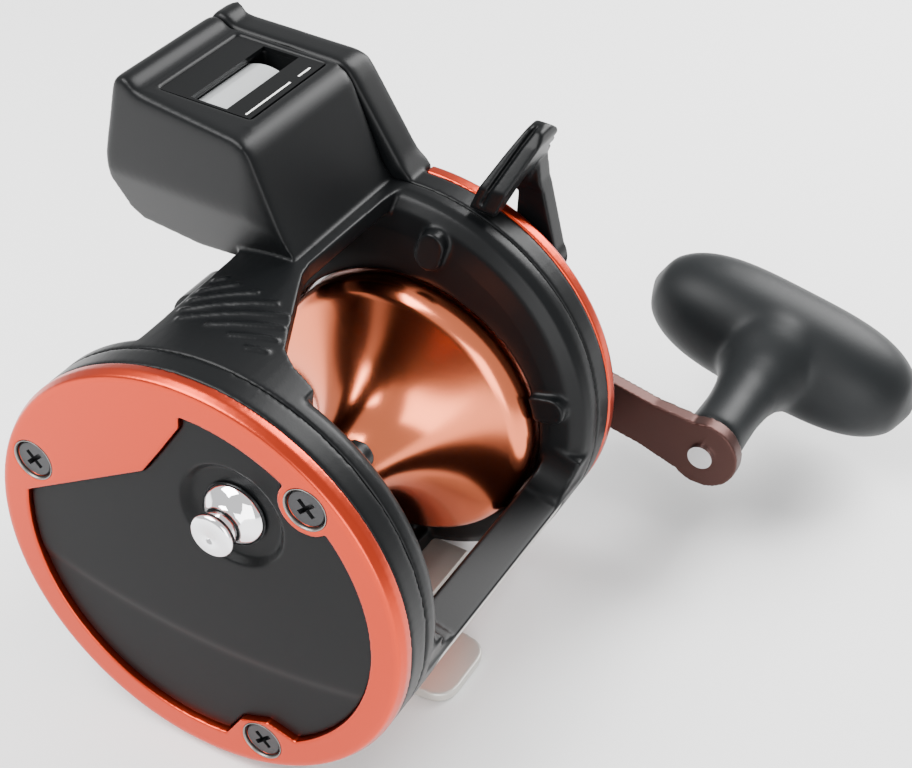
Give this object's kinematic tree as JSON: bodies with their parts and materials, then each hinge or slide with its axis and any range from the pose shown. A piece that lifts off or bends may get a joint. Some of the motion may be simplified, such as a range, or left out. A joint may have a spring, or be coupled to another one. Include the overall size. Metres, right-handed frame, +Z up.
{
  "type": "trolling reel",
  "caption": "Right-hand line-counter trolling reel with round side plates, open frame, star drag, clutch lever and T-shaped knob.",
  "frame": {"origin": "centre of the reel foot's flat underside", "axes": "+X along the spool to the handle side, +Y to the rod tip, +Z up from the rod"},
  "size_m": [0.1483, 0.1254, 0.0974],
  "materials": {
    "black_composite": "satin black moulded composite, fine grain",
    "black_insert": "satin black moulded panel",
    "orange_anodised": "orange anodised aluminium, satin face and polished bevel",
    "copper_anodised": "polished copper-orange anodised aluminium",
    "steel": "stainless steel, fine brushed",
    "foot_metal": "stainless plate, pale satin",
    "chrome": "polished chrome",
    "brass": "machined brass",
    "white_gear": "natural acetal",
    "black_screw": "black oxide",
    "bronze_arm": "dark bronze anodised",
    "rubber": "soft matt rubber",
    "silver_label": "plain brushed strip",
    "lens": "clear curved lens",
    "spring_steel": "spring steel",
    "friction": "woven carbon friction washer"
  },
  "bodies": {
    "housing": {"frame": "black_composite", "label_strip": "silver_label", "reel_foot": "foot_metal", "foot_screws": "steel", "left_side_plate": "black_composite", "left_trim_plate": "orange_anodised", "left_insert_panel": "black_insert", "left_screws": "black_screw", "spool_bearings": "steel", "worm_bushings": "white_gear", "levelwind_shield": "black_composite", "guide_rod": "steel", "window_panel": "black_insert", "window_lens": "lens", "gear_plate": "steel", "gear_plate_screws": "steel", "right_side_plate": "black_composite", "right_trim_ring": "orange_anodised", "right_cover": "black_composite", "right_screws": "black_screw", "yoke_springs": "spring_steel", "reset_spring": "spring_steel"},
    "clicker": {"click_button": "chrome", "click_spring": "spring_steel"},
    "click_finger": {"click_pawl": "steel"},
    "spool_unit": {"spool": "copper_anodised", "spool_shaft": "steel", "spool_gear": "brass", "click_gear": "brass"},
    "worm_idler": {"worm_idler_gear": "white_gear"},
    "worm": {"worm_gear": "white_gear", "worm_shaft": "steel", "counter_drive_gear": "white_gear"},
    "guide": {"line_guide": "black_composite", "guide_pawl": "steel"},
    "counter_idler": {"counter_idler_gear": "white_gear"},
    "counter_units": {"counter_gear": "white_gear", "counter_shaft": "steel", "units_wheel": "white_gear"},
    "counter_tens": {"tens_wheel": "white_gear"},
    "counter_hundreds": {"hundreds_wheel": "white_gear"},
    "reset": {"reset_button": "black_composite"},
    "yoke": {"clutch_yoke": "black_insert"},
    "pinion": {"pinion_gear": "brass"},
    "clutch": {"clutch_lever": "black_composite", "clutch_cam": "steel"},
    "tension": {"tension_cap": "black_composite"},
    "crank": {"drive_shaft": "steel", "drive_gear": "brass", "drag_washers": "friction", "pressure_plate": "steel", "drag_springs": "spring_steel", "drag_sleeve": "steel", "handle_arm": "bronze_arm", "handle_nut": "steel", "knob_spindle": "steel", "knob_washer": "black_insert"},
    "star": {"star_drag": "black_composite"},
    "knob": {"handle_knob": "rubber"},
    "pawl": {"ratchet_pawl": "steel"}
  },
  "joints": [
    {"name": "handle_turn", "type": "hinge", "parent": "housing", "child": "crank", "pos_m": [0, 0.015, 0.036], "axis": [1, 0, 0], "continuous": true},
    {"name": "spool_spin", "type": "hinge", "parent": "housing", "child": "spool_unit", "pos_m": [0, -0.0032, 0.0361], "axis": [1, 0, 0], "continuous": true},
    {"name": "pinion_spin", "type": "hinge", "parent": "yoke", "child": "pinion", "pos_m": [0, -0.0032, 0.0361], "axis": [1, 0, 0], "continuous": true},
    {"name": "worm_idler_spin", "type": "hinge", "parent": "housing", "child": "worm_idler", "pos_m": [0, 0.00996, 0.04537], "axis": [1, 0, 0], "continuous": true},
    {"name": "worm_spin", "type": "hinge", "parent": "housing", "child": "worm", "pos_m": [0, 0.02049, 0.05979], "axis": [1, 0, 0], "continuous": true},
    {"name": "counter_idler_spin", "type": "hinge", "parent": "housing", "child": "counter_idler", "pos_m": [0, 0.01967, 0.07271], "axis": [1, 0, 0], "continuous": true},
    {"name": "counter_spin", "type": "hinge", "parent": "housing", "child": "counter_units", "pos_m": [0, 0.0257, 0.0865], "axis": [1, 0, 0], "continuous": true},
    {"name": "tens_spin", "type": "hinge", "parent": "housing", "child": "counter_tens", "pos_m": [0, 0.0257, 0.0865], "axis": [1, 0, 0], "continuous": true},
    {"name": "hundreds_spin", "type": "hinge", "parent": "housing", "child": "counter_hundreds", "pos_m": [0, 0.0257, 0.0865], "axis": [1, 0, 0], "continuous": true},
    {"name": "knob_spin", "type": "hinge", "parent": "crank", "child": "knob", "pos_m": [0, -0.05042, 0.02352], "axis": [1, 0, 0], "continuous": true},
    {"name": "drag_star_turn", "type": "hinge", "parent": "crank", "child": "star", "pos_m": [0, 0.015, 0.036], "axis": [1, 0, 0], "range_deg": [-180, 180]},
    {"name": "tension_turn", "type": "hinge", "parent": "housing", "child": "tension", "pos_m": [0, -0.0032, 0.0361], "axis": [1, 0, 0], "range_deg": [-180, 180]},
    {"name": "clutch_turn", "type": "hinge", "parent": "housing", "child": "clutch", "pos_m": [0, -0.019, 0.0635], "axis": [1, 0, 0], "range_deg": [0, 20]},
    {"name": "yoke_slide", "type": "slide", "parent": "housing", "child": "yoke", "axis": [1, 0, 0], "range_m": [0, 0.0016], "deforming": ["yoke_springs"]},
    {"name": "guide_travel", "type": "slide", "parent": "housing", "child": "guide", "axis": [1, 0, 0], "range_m": [-0.0175, 0.0175]},
    {"name": "click_slide", "type": "slide", "parent": "housing", "child": "clicker", "axis": [0, 0.2029, -0.9792], "range_m": [0, 0.0026]},
    {"name": "click_swing", "type": "hinge", "parent": "clicker", "child": "click_finger", "pos_m": [0, -0.0072, 0.0554], "axis": [1, 0, 0], "range_deg": [-20, 20]},
    {"name": "reset_press", "type": "slide", "parent": "housing", "child": "reset", "axis": [0, -1, 0], "range_m": [0, 0.0015], "stiffness_N_per_m": 400, "deforming": ["reset_spring"]},
    {"name": "pawl_swing", "type": "hinge", "parent": "housing", "child": "pawl", "pos_m": [0, 0.02181, 0.0232], "axis": [1, 0, 0], "range_deg": [-20, 0]}
  ],
  "couplings": [
    {"joint": "spool_spin", "follows": "handle_turn", "ratio": -4.2},
    {"joint": "pinion_spin", "follows": "handle_turn", "ratio": -4.2},
    {"joint": "worm_idler_spin", "follows": "handle_turn", "ratio": 1.1667},
    {"joint": "worm_spin", "follows": "handle_turn", "ratio": -2.8},
    {"joint": "counter_idler_spin", "follows": "handle_turn", "ratio": 1.344},
    {"joint": "counter_spin", "follows": "handle_turn", "ratio": -1.8667},
    {"joint": "tens_spin", "follows": "handle_turn", "ratio": -0.18667},
    {"joint": "hundreds_spin", "follows": "handle_turn", "ratio": -0.018667},
    {"joint": "yoke_slide", "follows": "clutch_turn", "m_per_rad": 0.0045837}
  ]
}
